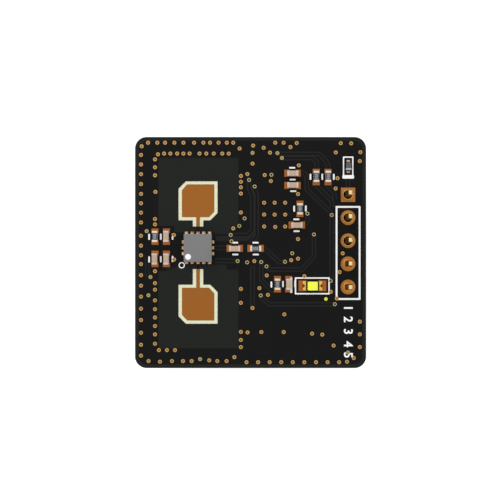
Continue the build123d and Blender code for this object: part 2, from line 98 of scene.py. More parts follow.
def mount(piece, slotName, *stoodFor):
    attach(piece, "root")
    if stoodFor:
        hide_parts(*stoodFor)


def dress(piece, looks, slotName, *stoodFor):
    # finishes, soft shading, and the piece hung under the root body with the CAD nodes it stands for hidden
    coat(piece, *looks)
    smooth(piece)
    mount(piece, slotName, *stoodFor)


def upward(face):
    return face.normal.z > 0.9


def standing(edge):
    a, b = edge.verts
    return abs(a.co.z - b.co.z) > 0.9 * (a.co - b.co).length


def atLevel(height):
    return lambda edge: all(abs(v.co.z - height) < tiny for v in edge.verts)


# shapes that many pieces start from

def block(name, low, high, cut=0.0, steps=2, edges=None):
    # a cube at its place, with the chosen edges rounded
    bpy.ops.object.select_all(action="DESELECT")
    bpy.ops.mesh.primitive_cube_add(size=1, location=(low + high) / 2)
    piece = bpy.context.object
    piece.name = name
    piece.scale = high - low
    settle(piece)
    if cut:
        editing(True)
        pick(piece, "edges", edges or (lambda edge: True))
        bpy.ops.mesh.bevel(offset=cut, segments=steps, affect="EDGES")
        editing(False)
    return piece


def disc(name, centre, radius, rise, sides=48, cut=0.0):
    # a round plate standing on its centre, with a softened top edge
    centre = Vector(centre) + Vector((0, 0, rise / 2))
    bpy.ops.object.select_all(action="DESELECT")
    bpy.ops.mesh.primitive_cylinder_add(vertices=sides, radius=radius, depth=rise, location=centre)
    piece = bpy.context.object
    piece.name = name
    settle(piece)
    if cut:
        editing(True)
        pick(piece, "edges", atLevel(centre.z + rise / 2))
        bpy.ops.mesh.bevel(offset=cut, segments=2, affect="EDGES")
        editing(False)
    return piece


def joined(name, pieces):
    selectOnly(*pieces)
    if len(pieces) > 1:
        bpy.ops.object.join()
    whole = bpy.context.object
    whole.name = name
    whole.data.name = name
    settle(whole)
    return whole


def cutAway(piece, tool):
    # takes the room that the tool fills out of the piece
    opening = piece.modifiers.new("opening", "BOOLEAN")
    opening.object = tool
    selectOnly(piece)
    bpy.ops.object.modifier_apply(modifier="opening")
    bpy.data.objects.remove(tool)


def copyOf(model, x, y, z, turn):
    # a copy, at its place, of a model that was made at the origin
    piece = model.copy()
    piece.data = model.data.copy()
    bpy.context.collection.objects.link(piece)
    piece.location = (x, y, z)
    piece.rotation_euler = (0, 0, turn)
    return piece


def copiesAt(name, model, places):
    # one modelled piece copied to each (x, y, z, turn), as one object
    copies = [copyOf(model, *place) for place in places]
    bpy.data.objects.remove(model)
    return joined(name, copies)


def islands(node):
    # the lowest and highest corner of each loose solid of a CAD node
    shape = bmesh.new()
    shape.from_mesh(nodes[node].data)
    bmesh.ops.remove_doubles(shape, verts=shape.verts, dist=tiny)
    found = []
    left = set(shape.verts)
    while left:
        queue = [left.pop()]
        group = list(queue)
        while queue:
            for edge in queue.pop().link_edges:
                for vert in edge.verts:
                    if vert in left:
                        left.remove(vert)
                        queue.append(vert)
                        group.append(vert)
        low = Vector(min(v.co[i] for v in group) for i in range(3))
        high = Vector(max(v.co[i] for v in group) for i in range(3))
        found.append((low, high))
    shape.free()
    return sorted(found, key=lambda box: (round(box[0].y, 5), round(box[0].x, 5)))


def middle(box):
    return (box[0] + box[1]) / 2


def path(name, points, closed=False, radius=0.0):
    # a line of straight pieces, with a round section if it has a radius, made a mesh
    curve = bpy.data.curves.new(name, "CURVE")
    curve.dimensions = "3D"
    curve.bevel_depth = radius
    curve.bevel_resolution = 1
    curve.use_fill_caps = not closed
    spline = curve.splines.new("POLY")
    spline.points.add(len(points) - 1)
    for place, point in zip(spline.points, points):
        place.co = (*point, 1)
    spline.use_cyclic_u = closed
    piece = bpy.data.objects.new(name, curve)
    bpy.context.collection.objects.link(piece)
    selectOnly(piece)
    bpy.ops.object.convert(target="MESH")
    return bpy.context.object


def lathe(name, profile, centre=(0, 0)):
    # a closed profile of (radius, height above the board's front) in mm, spun about the upright at centre
    x, y = centre
    points = [(x + radius * mm, y, boardFront + height * mm) for radius, height in profile]
    piece = path(name, points, closed=True)
    editing(True)
    bpy.ops.mesh.select_all(action="SELECT")
    bpy.ops.mesh.spin(steps=48, angle=2 * math.pi, center=(x, y, 0), axis=(0, 0, 1))
    bpy.ops.mesh.select_all(action="SELECT")
    bpy.ops.mesh.remove_doubles(threshold=tiny)
    turnOutward()
    editing(False)
    return piece


def paint(piece, index, test):
    # gives the faces that pass the test another of the piece's finishes
    for face in piece.data.polygons:
        if test(face.center, face.normal):
            face.material_index = index


def softened(name, node, cut, look, slotName, steps=2):
    # a copy of a CAD solid with its sharp edges rounded, which stands for it
    piece = nodes[node].copy()
    piece.data = nodes[node].data.copy()
    for key in list(piece.keys()):
        del piece[key]
    piece.parent = None
    piece.name = name
    bpy.context.collection.objects.link(piece)
    selectOnly(piece)
    editing(True)
    bpy.ops.mesh.select_all(action="SELECT")
    bpy.ops.mesh.remove_doubles(threshold=tiny)
    bpy.ops.mesh.dissolve_limited(angle_limit=math.radians(1))
    pick(piece, "edges", lambda edge: edge.is_manifold and edge.calc_face_angle() > math.radians(40))
    bpy.ops.mesh.bevel(offset=cut, segments=steps, affect="EDGES")
    turnOutward()
    editing(False)
    dress(piece, [look], slotName, node)
    return piece


# colour and finish

def tone(red, green, blue):
    # a colour as it looks on screen, 0 to 255
    parts = [part / 255 for part in (red, green, blue)]
    return tuple(p / 12.92 if p < 0.04045 else ((p + 0.055) / 1.055) ** 2.4 for p in parts) + (1.0,)


def addNode(tree, kind, feeds, **settings):
    # a node with its settings, and for each input a value or the output that feeds it
    node = tree.nodes.new(kind)
    for label, value in settings.items():
        setattr(node, label, value)
    for label, feed in feeds.items():
        if isinstance(feed, bpy.types.NodeSocket):
            tree.links.new(feed, node.inputs[label])
        else:
            node.inputs[label].default_value = feed
    return node


def reckon(tree, operation, first, second, clamp=False):
    # what a Math node makes of two values or outputs
    return addNode(tree, "ShaderNodeMath", {0: first, 1: second}, operation=operation,
                   use_clamp=clamp).outputs[0]


def makeGroup(name, inputs, outputs):
    # an empty group, the sockets that bring its inputs and the sockets that take its outputs
    group = bpy.data.node_groups.new(name, "ShaderNodeTree")
    kinds = {"color": "NodeSocketColor", "float": "NodeSocketFloat", "vector": "NodeSocketVector"}
    for label, kind, value in inputs:
        socket = group.interface.new_socket(name=label, in_out="INPUT", socket_type=kinds[kind])
        if value is not None:
            socket.default_value = value
    for label, kind in outputs:
        group.interface.new_socket(name=label, in_out="OUTPUT", socket_type=kinds[kind])
    return group, group.nodes.new("NodeGroupInput").outputs, group.nodes.new("NodeGroupOutput").inputs


def mottleGroup():
    # two tones mixed by soft patches and fine grain
    group, given, made = makeGroup(
        "mottle",
        [("Vector", "vector", None), ("Main", "color", (1, 1, 1, 1)), ("Other", "color", (0, 0, 0, 1)),
         ("Patch Scale", "float", 400.0), ("Grain Scale", "float", 6000.0), ("Amount", "float", 0.5)],
        [("Color", "color"), ("Mask", "float")],
    )
    patches, grain = [
        addNode(group, "ShaderNodeTexNoise",
                {"Vector": given["Vector"], "Scale": given[scale], "Detail": 3.0}).outputs["Fac"]
        for scale in ("Patch Scale", "Grain Scale")]
    both = reckon(group, "MULTIPLY", patches, grain)
    spread = addNode(group, "ShaderNodeMapRange",
                     {"Value": both, "From Min": 0.12, "From Max": 0.42}).outputs["Result"]
    share = reckon(group, "MULTIPLY", spread, given["Amount"])
    mix = addNode(group, "ShaderNodeMix", {"Factor": share, 6: given["Main"], 7: given["Other"]},
                  data_type="RGBA")
    group.links.new(mix.outputs[2], made["Color"])
    group.links.new(spread, made["Mask"])
    return group


def rippleGroup():
    # a shallow uneven surface, as of moulded plastic, ink or plating
    group, given, made = makeGroup(
        "ripple",
        [("Vector", "vector", None), ("Scale", "float", 3000.0), ("Strength", "float", 0.1)],
        [("Normal", "vector")],
    )
    noise = addNode(group, "ShaderNodeTexNoise",
                    {"Vector": given["Vector"], "Scale": given["Scale"], "Detail": 4.0})
    bump = addNode(group, "ShaderNodeBump", {"Height": noise.outputs["Fac"], "Strength": given["Strength"],
                                             "Distance": 0.02 * mm})
    group.links.new(bump.outputs["Normal"], made["Normal"])
    return group


def weaveGroup():
    # bundles of glass fibre crossing over and under each other
    group, given, made = makeGroup(
        "glassWeave",
        [("Vector", "vector", None), ("Pitch Scale", "float", 1.0)],
        [("Mask", "float")],
    )
    along, across = [
        addNode(group, "ShaderNodeTexWave",
                {"Vector": given["Vector"], "Scale": given["Pitch Scale"], "Distortion": 0.6,
                 "Detail Scale": 2.0}, bands_direction=direction).outputs["Fac"]
        for direction in ("X", "Y")]
    cross = reckon(group, "MULTIPLY", along, across)
    group.links.new(cross, made["Mask"])
    return group


def roundedBoxGroup():
    # 1 inside an upright box with rounded corners, 0 outside, with a narrow soft edge
    group, given, made = makeGroup(
        "roundedBox",
        [("Vector", "vector", None), ("Centre", "vector", None), ("Reach", "vector", None),
         ("Radius", "float", 0.0)],
        [("Mask", "float")],
    )
    last = given["Vector"]
    for operation, other in (("SUBTRACT", "Centre"), ("ABSOLUTE", None), ("SUBTRACT", "Reach"),
                             ("MAXIMUM", None), ("LENGTH", None)):
        feeds = {0: last, 1: given[other]} if other else {0: last}
        step = addNode(group, "ShaderNodeVectorMath", feeds, operation=operation)
        last = step.outputs["Value" if operation == "LENGTH" else "Vector"]
    beyond = reckon(group, "SUBTRACT", last, given["Radius"])
    edge = addNode(group, "ShaderNodeMapRange", {"Value": beyond, "From Min": -0.02 * mm,
                                                 "From Max": 0.02 * mm, "To Min": 1.0, "To Max": 0.0})
    group.links.new(edge.outputs["Result"], made["Mask"])
    return group


mottle = mottleGroup()
ripple = rippleGroup()
glassWeave = weaveGroup()
roundedBox = roundedBoxGroup()


def finish(name, main, other, look):
    # a Principled material with mottled colour, uneven roughness and a rippled surface
    material = bpy.data.materials.new(name)
    material.use_nodes = True
    tree = material.node_tree
    shader = tree.nodes["Principled BSDF"]
    shader.inputs["Metallic"].default_value = look.get("metallic", 0.0)
    shader.inputs["Specular IOR Level"].default_value = look.get("specular", 0.3)
    shader.inputs["Coat Weight"].default_value = look.get("coat", 0.0)
    shader.inputs["Coat Roughness"].default_value = 0.15
    place = tree.nodes.new("ShaderNodeTexCoord").outputs["Object"]
    tones = addNode(tree, "ShaderNodeGroup", {
        "Main": tone(*main), "Other": tone(*other), "Patch Scale": look.get("patches", 500.0),
        "Amount": look.get("amount", 0.6), "Vector": place}, node_tree=mottle)
    surface = addNode(tree, "ShaderNodeGroup", {
        "Scale": look.get("rippleScale", 6000.0), "Strength": look["ripple"], "Vector": place},
        node_tree=ripple)
    low, high = look["roughness"]
    rough = addNode(tree, "ShaderNodeMapRange",
                    {"Value": tones.outputs["Mask"], "To Min": low, "To Max": high})
    tree.links.new(tones.outputs["Color"], shader.inputs["Base Color"])
    tree.links.new(rough.outputs["Result"], shader.inputs["Roughness"])
    tree.links.new(surface.outputs["Normal"], shader.inputs["Normal"])
    return material


plasticLook = {"roughness": (0.5, 0.7), "ripple": 0.25, "specular": 0.2}
metalLook = {"metallic": 1.0, "roughness": (0.3, 0.45), "ripple": 0.08, "amount": 0.5}
platedLook = dict(metalLook, metallic=0.4)
shadeLook = {"roughness": (0.7, 0.85), "ripple": 0.1, "specular": 0.05, "metallic": 0.2}
inkLook = {"roughness": (0.6, 0.75), "ripple": 0.12, "specular": 0.15, "amount": 0.5}
maskLook = {"roughness": (0.5, 0.62), "ripple": 0.05, "rippleScale": 1500.0, "specular": 0.05,
            "patches": 250.0}

finishes = {
    "bareMask": finish("maskOverLaminate", (34, 35, 34), (37, 38, 37), maskLook),
    "trace": finish("maskOverTrace", (19, 19, 19), (22, 22, 22), maskLook),
    "antenna": finish("antennaCopper", (155, 97, 43), (150, 92, 40), dict(metalLook, patches=300.0)),
    "land": finish("landCopper", (165, 101, 50), (136, 82, 39), dict(metalLook, patches=2500.0)),
    "chipLand": finish("tinnedLand", (217, 195, 159), (159, 91, 42),
                       dict(metalLook, patches=2600.0, amount=1.0)),
    "diodeLandShade": finish("shadedLand", (74, 48, 32), (54, 36, 26), shadeLook),
    "viaRing": finish("viaGold", (195, 161, 108), (170, 129, 78), dict(metalLook, patches=3000.0)),
    "viaHole": finish("viaHole", (136, 88, 24), (112, 67, 16), metalLook),
    "viaOpeningShade": finish("viaOpeningShade", (30, 22, 14), (24, 18, 12), shadeLook),
    "oliveRing": finish("coveredViaRing", (176, 165, 121), (148, 136, 93), metalLook),
    "oliveHoleShade": finish("coveredViaHoleShade", (17, 11, 2), (13, 9, 2), shadeLook),
    "paleRing": finish("filledViaRing", (176, 165, 119), (151, 140, 95), metalLook),
    "palePlug": finish("filledViaPlug", (133, 123, 71), (114, 104, 56), metalLook),
    "ink": finish("printWhite", (255, 255, 255), (249, 249, 249), inkLook),
    "yellowInk": finish("printYellow", (240, 236, 74), (218, 208, 54), inkLook),
    "headerCopper": finish("headerCopper", (176, 114, 57), (163, 101, 46), dict(metalLook, patches=900.0)),
    "rim": finish("holeRim", (212, 172, 97), (191, 146, 74), metalLook),
    "barrelShade": finish("holeShade", (26, 22, 14), (18, 15, 10), shadeLook),
    "solder": finish("headerSolder", (183, 121, 57), (170, 108, 46), metalLook),
    "pin": finish("pinGold", (239, 217, 161), (229, 200, 136), dict(metalLook, roughness=(0.2, 0.34))),
    "pinShade": finish("pinShade", (78, 58, 28), (58, 44, 22), shadeLook),
    "pinFacetShade": finish("pinFacetShade", (174, 135, 78), (153, 116, 63), metalLook),
    "housing": finish("headerPlastic", (24, 24, 25), (34, 34, 35), plasticLook),
    "capacitor": finish("capacitorCeramic", (196, 172, 146), (182, 158, 132), plasticLook),
    "capacitorCap": finish("capacitorTin", (208, 188, 177), (190, 171, 157), platedLook),
    "resistor": finish("resistorCoat", (70, 76, 81), (88, 93, 99), plasticLook),
    "ceramic": finish("resistorCeramic", (214, 210, 202), (200, 196, 188), plasticLook),
    "resistorCap": finish("resistorTin", (233, 218, 197), (210, 190, 163), platedLook),
    "mark": finish("resistorFigures", (186, 190, 198), (170, 174, 184), inkLook),
    "chip": finish("chipPlastic", (127, 127, 127), (122, 122, 122), plasticLook),
    "blackChip": finish("controllerPlastic", (38, 38, 40), (46, 46, 48), plasticLook),
    "dimple": finish("controllerDimple", (66, 66, 68), (58, 58, 60), plasticLook),
    "terminalTop": finish("terminalCopper", (191, 131, 86), (165, 101, 57), dict(metalLook, patches=2500.0)),
    "terminal": finish("terminalTin", (208, 193, 165), (187, 168, 136), metalLook),
    "ledBase": finish("ledSubstrate", (60, 56, 22), (46, 42, 16), plasticLook),
    "ledGold": finish("ledGold", (225, 187, 97), (206, 165, 76), metalLook),
    "ledLens": finish("ledLens", (255, 255, 74), (250, 250, 60), dict(plasticLook, coat=0.3)),
    "notch": finish("ledNotchShadow", (124, 72, 32), (104, 58, 26), shadeLook),
    "diode": finish("diodePlastic", (91, 95, 98), (80, 85, 84), plasticLook),
    "band": finish("diodeBand", (188, 184, 190), (176, 172, 178), inkLook),
    "foot": finish("diodeFootHighlight", (208, 182, 148), (185, 157, 123), dict(metalLook, patches=3000.0)),
    "goldFootHighlight": finish("diodeGoldFootHighlight", (213, 191, 153), (191, 165, 123), dict(metalLook, patches=3000.0)),
    "footShade": finish("diodeFootShade", (74, 54, 30), (56, 40, 22), dict(shadeLook, metallic=0.6)),
    "crystalBase": finish("crystalCeramic", (56, 52, 48), (44, 41, 38), plasticLook),
    "crystalLid": finish("crystalLid", (200, 193, 174), (183, 176, 157), metalLook),
    "regulator": finish("regulatorPlastic", (32, 32, 33), (40, 40, 41), plasticLook),
}


def overlay(tree, mask, colour, blend):
    # another tone over the base colour, where the mask is 1
    base = tree.nodes["Principled BSDF"].inputs["Base Color"]
    over = addNode(tree, "ShaderNodeMix", {"Factor": mask, 6: base.links[0].from_socket, 7: tone(*colour)},
                   data_type="RGBA", blend_type=blend)
    tree.links.new(over.outputs[2], base)


def laminateFinish():
    # cream laminate with its woven glass just showing
    material = finish("bareLaminate", (235, 238, 209), (229, 231, 198), dict(plasticLook, patches=600.0))
    tree = material.node_tree
    place = tree.nodes["Texture Coordinate"].outputs["Object"]
    fibres = addNode(tree, "ShaderNodeGroup", {"Pitch Scale": 700.0, "Vector": place}, node_tree=glassWeave)
    overlay(tree, fibres.outputs["Mask"], (249, 248, 238), "MULTIPLY")
    return material


copperSizes = {"edge": 9.68, "round": 0.75}  # how far the copper under the mask reaches, in mm


def boardFinish(name, zones, notches):
    # black mask: a little paler where no copper lies under it, as round the antennas and at the edge
    material = finish(name, (21, 21, 21), (24, 24, 24), maskLook)
    tree = material.node_tree
    place = tree.nodes["Texture Coordinate"].outputs["Object"]

    def box(left, right, low, high, radius):
        centre = Vector((left + right, low + high, 0)) / 2 * mm
        reach = Vector(((right - left) / 2 - radius, (high - low) / 2 - radius, 1000)) * mm
        return addNode(tree, "ShaderNodeGroup", {"Centre": centre, "Reach": reach, "Radius": radius * mm,
                                                 "Vector": place}, node_tree=roundedBox).outputs["Mask"]

    edge = copperSizes["edge"]
    bare = reckon(tree, "SUBTRACT", 1.0, box(-edge, edge, -edge, edge, copperSizes["round"]), True)
    for zone in zones:
        bare = reckon(tree, "MAXIMUM", bare, box(*zone), True)
    for zone in notches:
        bare = reckon(tree, "SUBTRACT", bare, box(*zone), True)
    overlay(tree, bare, (34, 36, 33), "MIX")
    return material


# left, right, low, high and corner radius in mm
frontZones = [(-7.98, -1.06, 2.3, 8.19, 0.05), (-6.6, -1.75, 1.75, 2.4, 0.05),
              (-7.98, -1.06, -8.28, -1.6, 0.05), (-7.3, -1.06, -1.7, -1.3, 0.05),
              (-5.9, -2.1, -1.4, -1.05, 0.05)]
frontNotches = [(-2.05, -1.0, -1.48, -1.0, 0.03)]
finishes["laminate"] = laminateFinish()
finishes["frontMask"] = boardFinish("frontMask", frontZones, frontNotches)
finishes["backMask"] = boardFinish("backMask", [], [])
print("finishes made:", len(finishes))


# CAD nodes whose shape is already right keep it and take a finish

for node, look in {"laminate_core": "laminate", "front_mask": "frontMask", "back_mask": "backMask"}.items():
    coat(nodes[node], look)


# antennas: the edges of the patch and of its feed line etched out to their full reach

patchSizes = {"left": 0.017 * mm, "right": 0.034 * mm, "up": 0.05 * mm, "down": 0.033 * mm,
              "feedLeft": 0.012 * mm, "feedRight": 0.017 * mm, "near": 0.1 * mm, "cut": 0.006 * mm,
              "feedRoom": (-4.95 * mm, -4.55 * mm, -4.15 * mm)}
feedLow, feedMiddle, feedHigh = patchSizes["feedRoom"]  # along X, with the feed line in the middle
patchSpans = {"upper": (3.08, 5.85), "lower": (-5.86, -3.09)}  # lowest and highest edge in mm
for side, (low, high) in patchSpans.items():
    patch = softened(side + "Antenna", side + "_antenna", patchSizes["cut"], "antenna", "antenna_copper", 1)
    editing(True)
    for test, move in (
        (lambda place: place.x < feedLow, (-patchSizes["left"], 0, 0)),
        (lambda place: place.x > feedHigh, (patchSizes["right"], 0, 0)),
        (lambda place: feedLow < place.x < feedMiddle, (-patchSizes["feedLeft"], 0, 0)),
        (lambda place: feedMiddle < place.x < feedHigh, (patchSizes["feedRight"], 0, 0)),
        (lambda place: abs(place.y - high * mm) < patchSizes["near"], (0, patchSizes["up"], 0)),
        (lambda place: abs(place.y - low * mm) < patchSizes["near"], (0, -patchSizes["down"], 0)),
    ):
        pick(patch, "verts", lambda vert: test(vert.co))
        bpy.ops.transform.translate(value=move)
    editing(False)


# plated holes: a rounded ring and a sunk centre, on both faces

viaSizes = {"opening": 0.225 * mm, "radius": 0.172 * mm, "hole": 0.094 * mm, "openingRise": 0.004 * mm,
            "rise": 0.034 * mm, "depth": 0.01 * mm, "sides": 12, "near": 0.1 * mm}


def viaModel(name, ringLook, holeLook):
    # opening in the mask painted dark as shade, ring, sunk centre
    via = disc(name, (0, 0, 0), viaSizes["opening"], viaSizes["openingRise"], viaSizes["sides"])
    coat(via, ringLook, holeLook, "viaOpeningShade")
    selectOnly(via)
    editing(True)
    pick(via, "faces", upward)
    bpy.ops.mesh.inset(thickness=viaSizes["opening"] - viaSizes["radius"])
    bpy.ops.mesh.extrude_region_move(
        TRANSFORM_OT_translate={"value": (0, 0, viaSizes["rise"] - viaSizes["openingRise"])})
    bpy.ops.mesh.inset(thickness=viaSizes["radius"] - viaSizes["hole"])
    bpy.ops.mesh.extrude_region_move(TRANSFORM_OT_translate={"value": (0, 0, -viaSizes["depth"])})
    editing(False)
    # painted shade: the mask opening round the ring is dark, for the gap in shade
    paint(via, 2, lambda centre, normal: centre.z < 1.1 * viaSizes["openingRise"])
    # the sunk centre takes the hole's finish: copper for the ground vias, a near black painted shade for the
    # covered vias
    paint(via, 1, lambda centre, normal: centre.xy.length < 1.05 * viaSizes["hole"] and centre.z > 0)
    return via


# vias that were drilled a little off their row: place and offset in mm
drillOffsets = {(2.08, 2.25): (0.05, -0.035), (-3.58, -9.39): (0, 0.065), (-8.02, 8.56): (0.01, -0.065),
                (9.45, 8.7): (0.05, -0.02), (-7.84, -9.39): (0, -0.055), (8.7, 9.5): (0, -0.055),
                (8.34, -9.49): (0, 0.04), (7.79, 9.5): (0.01, -0.04), (-8.27, 5.26): (0.04, -0.015),
                (4.01, 9.5): (-0.02, -0.035)}


def isAt(place, x, y):
    return math.hypot(place.x - x * mm, place.y - y * mm) < viaSizes["near"]


def drilled(box):
    place = middle(box)
    for (x, y), offset in drillOffsets.items():
        if isAt(place, x, y):
            place += Vector((*offset, 0)) * mm
            break
    return place


groundPlaces = [drilled(box) for box in islands("ground_vias")]
signalPlaces = [drilled(box) for box in islands("signal_vias")]
filledPlaces = [(-8.99, 1.85), (-8.66, -2.12), (-8.84, -3.7), (-4.37, -9.22), (8.43, -8.65),
                (0.17, 8.62), (2.32, 8.6), (2.71, 8.18)]
backParts = [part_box(node) for node in ("header_housing", "microcontroller", "microcontroller_terminals",
                                       "crystal_base", "regulator_body")]
backParts += islands("back_component_lands")


def isFilled(place):
    return any(isAt(place, x, y) for x, y in filledPlaces)


def isOpenBehind(place):
    reach = viaSizes["opening"]
    return not any(low.x - reach < place.x < high.x + reach and low.y - reach < place.y < high.y + reach
                   for low, high in backParts)


def viaRows(name, ringLook, holeLook, places, slotName, *stoodFor):
    front = copiesAt(name, viaModel(name, ringLook, holeLook), [(p.x, p.y, boardFront, 0) for p in places])
    behind = [(p.x, p.y, boardBack, 0) for p in places if isOpenBehind(p)]
    turned = viaModel(name + "Back", ringLook, holeLook)
    turned.rotation_euler = (math.pi, 0, 0)
    settle(turned)
    rows = joined(name, [front, copiesAt(name + "Back", turned, behind)])
    smooth(rows)
    mount(rows, slotName, *stoodFor)


viaRows("groundVias", "viaRing", "viaHole", groundPlaces, "via_gold", "ground_vias")
# painted shade: the covered vias' shallow centre is near black, standing for the deep hole
viaRows("signalVias", "oliveRing", "oliveHoleShade", [p for p in signalPlaces if not isFilled(p)],
        "via_covered", "signal_vias")
viaRows("filledVias", "paleRing", "palePlug", [p for p in signalPlaces if isFilled(p)], "via_covered")
print("vias made:", len(groundPlaces), len(signalPlaces))


# traces under the mask: a raised line in the sunk gap that keeps it from the copper round it

traceSizes = {"gap": 0.21 * mm, "line": 0.1 * mm, "gapRise": 0.003 * mm, "lineRise": 0.007 * mm}
traceBends = [
    [(-3.1, 1.52), (-0.25, 1.52), (0.15, 1.9), (0.15, 4.9), (-0.1, 5.5), (-0.13, 6.28)],
    [(0.0, 0.75), (0.52, 1.4), (0.52, 5.0), (0.35, 5.5)],
    [(1.17, 0.4), (2.5, -0.85), (2.98, -0.8)],
    [(5.48, 1.56), (5.48, -0.35), (4.45, -1.47), (1.7, -1.47), (1.38, -1.2)],
    [(0.17, -1.1), (0.17, -4.8)],
    [(0.92, -0.82), (0.92, -2.35), (1.75, -3.2), (2.05, -3.3)],
    [(0.88, -3.71), (0.95, -3.9), (1.6, -4.48), (7.29, -4.48)],
    [(-8.95, -0.2), (-8.95, -1.9), (-8.66, -2.12)],
    [(2.32, 8.6), (2.6, 8.54), (5.9, 8.54), (6.5, 7.95), (6.7, 7.6), (6.7, 7.28)],
    [(2.71, 8.18), (5.4, 8.18), (5.72, 7.85), (5.72, 7.28)],
    [(4.4, 7.0), (4.7, 6.8), (4.86, 6.4), (4.86, 5.45), (6.9, 3.5), (7.02, 3.24)],
    [(5.68, 5.8), (6.9, 4.6), (7.05, 4.3), (7.05, 3.9)],
    [(6.7, 5.8), (7.25, 5.1), (7.3, 4.6)],
    [(7.02, 3.24), (7.02, -1.9), (6.93, -2.46)],
    [(8.43, 6.36), (8.43, 5.6)],
    [(4.92, 3.36), (4.95, 2.8), (4.7, 2.4)],
    [(-3.4, 0.41), (-2.1, 0.41)],
    [(-3.1, -0.7), (-1.12, -0.74)],
    [(-4.55, 2.25), (-4.55, 1.8)],
    [(-4.55, -1.43), (-4.55, -1.0)],
]
gapOnly = [[(-3.0, 1.2), (-0.3, 1.2), (0.27, 1.735)]]


def flatLine(points, halfWidth, rise):
    line = path("line", [(x * mm, y * mm, 0) for x, y in points], radius=halfWidth)
    line.scale = (1, 1, rise / halfWidth)
    line.location = (0, 0, boardFront)
    settle(line)
    return line


gaps = joined("traceGaps", [flatLine(bends, traceSizes["gap"], traceSizes["gapRise"])
                            for bends in traceBends + gapOnly])
lines = joined("traceLines", [flatLine(bends, traceSizes["line"], traceSizes["lineRise"])
                              for bends in traceBends])
dress(gaps, ["bareMask"], "solder_mask")
dress(lines, ["trace"], "solder_mask")
print("traces made:", len(traceBends))


# lands: thin plates with a softened outer edge

landSizes = {"margin": 0.002 * mm, "chipMargin": 0.022 * mm, "end": 0.036 * mm, "near": 0.75 * mm,
             "aside": 0.1 * mm, "cut": 0.01 * mm, "chipReach": 0.25 * mm, "diodeReach": 0.4 * mm}
passiveCentres = [middle(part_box(node)) for node in nodes
                  if node.startswith(("capacitor_", "resistor_")) and "end" not in node]


def around(node, reach):
    low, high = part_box(node)
    return lambda centre, normal: (low.x - reach < centre.x < high.x + reach
                                   and low.y - reach < centre.y < high.y + reach)


atChip = around("radar_chip", landSizes["chipReach"])


def trimmed(low, high):
    # a land's corners, drawn in all round and a little more at the end that faces away from its part
    margin = landSizes["chipMargin" if atChip((low + high) / 2, None) else "margin"]
    margin = Vector((margin, margin, 0))
    low, high = low + margin, high - margin
    for centre in passiveCentres:
        away = (low + high) / 2 - centre
        along = 1 if abs(away.y) > abs(away.x) else 0
        if away.xy.length < landSizes["near"] and abs(away[1 - along]) < landSizes["aside"]:
            if away[along] > 0:
                high[along] -= landSizes["end"]
            else:
                low[along] += landSizes["end"]
    return low, high


def landPlates(name, node, slotName, facing):
    plates = []
    for box in islands(node):
        low, high = trimmed(*box)
        outer = high.z if facing > 0 else low.z
        plates.append(block(name, low, high, landSizes["cut"], 1, atLevel(outer)))
    whole = joined(name, plates)
    coat(whole, "land", "chipLand", "diodeLandShade")
    mount(whole, slotName, node)
    return whole


lands = landPlates("componentLands", "component_lands", "land_copper", 1)
paint(lands, 1, atChip)
# painted shade: the lands round the diode are dark brown, for the shade under its body and feet
paint(lands, 2, around("diode_body", landSizes["diodeReach"]))
landPlates("backComponentLands", "back_component_lands", "land_copper", -1)


# header: rimmed lands, solder in the lower two holes, tapered pins

# x, y, z and turn of each pin
pinPlaces = [(*middle(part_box(f"header_pin_{number}")).xy, 0, 0) for number in range(1, 6)]

# profiles of radius and height above the board's front, in mm
landProfile = [(0.44, 0), (0.64, 0), (0.64, 0.02), (0.63, 0.03), (0.44, 0.03)]
barrelProfile = [(0.43, -1), (0.43, 0), (0.445, 0), (0.445, 0.034), (0.4, 0.036), (0.38, 0.02), (0.38, -1)]
filletProfile = [(0, -1), (0.38, -1), (0.38, 0.02), (0.45, 0.034), (0.42, 0.042), (0.36, 0.07), (0, 0.07)]
holeSizes = {"low": Vector((0.022, -0.01, 0)) * mm, "high": Vector((0.018, 0.04, 0)) * mm, "cut": 0.01 * mm,
             "radius": 0.44 * mm, "shadeTop": 0.015 * mm}  # the hole's wall takes a painted shade below this height, and the rim's gold above it
drillSizes = {"below": 0.1 * mm, "headerRise": 0.3 * mm, "ledRise": 1 * mm}

headerLands = copiesAt("roundLands", lathe("roundLand", landProfile), pinPlaces[1:])
squareLow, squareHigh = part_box("square_header_hole")
squareLow, squareHigh = squareLow + holeSizes["low"], squareHigh - holeSizes["high"]
squareLow.z = boardFront
squareLand = block("squareLand", squareLow, squareHigh, holeSizes["cut"], 1, atLevel(squareHigh.z))
cutAway(squareLand, disc("drill", (*pinPlaces[0][:2], boardFront - drillSizes["below"]),
                         holeSizes["radius"], drillSizes["headerRise"]))
headerLands = joined("headerLands", [headerLands, squareLand])
dress(headerLands, ["headerCopper"], "header_copper", "square_header_hole", "round_header_holes")

barrels = copiesAt("headerBarrels", lathe("barrel", barrelProfile), pinPlaces)
dress(barrels, ["rim", "barrelShade"], "header_copper")
# painted shade: the barrel's wall down in the hole is near black
paint(barrels, 1, lambda centre, normal: centre.z < boardFront + holeSizes["shadeTop"])

fillets = copiesAt("solderFillets", lathe("fillet", filletProfile), pinPlaces[3:])
dress(fillets, ["solder"], "solder", "header_solder")

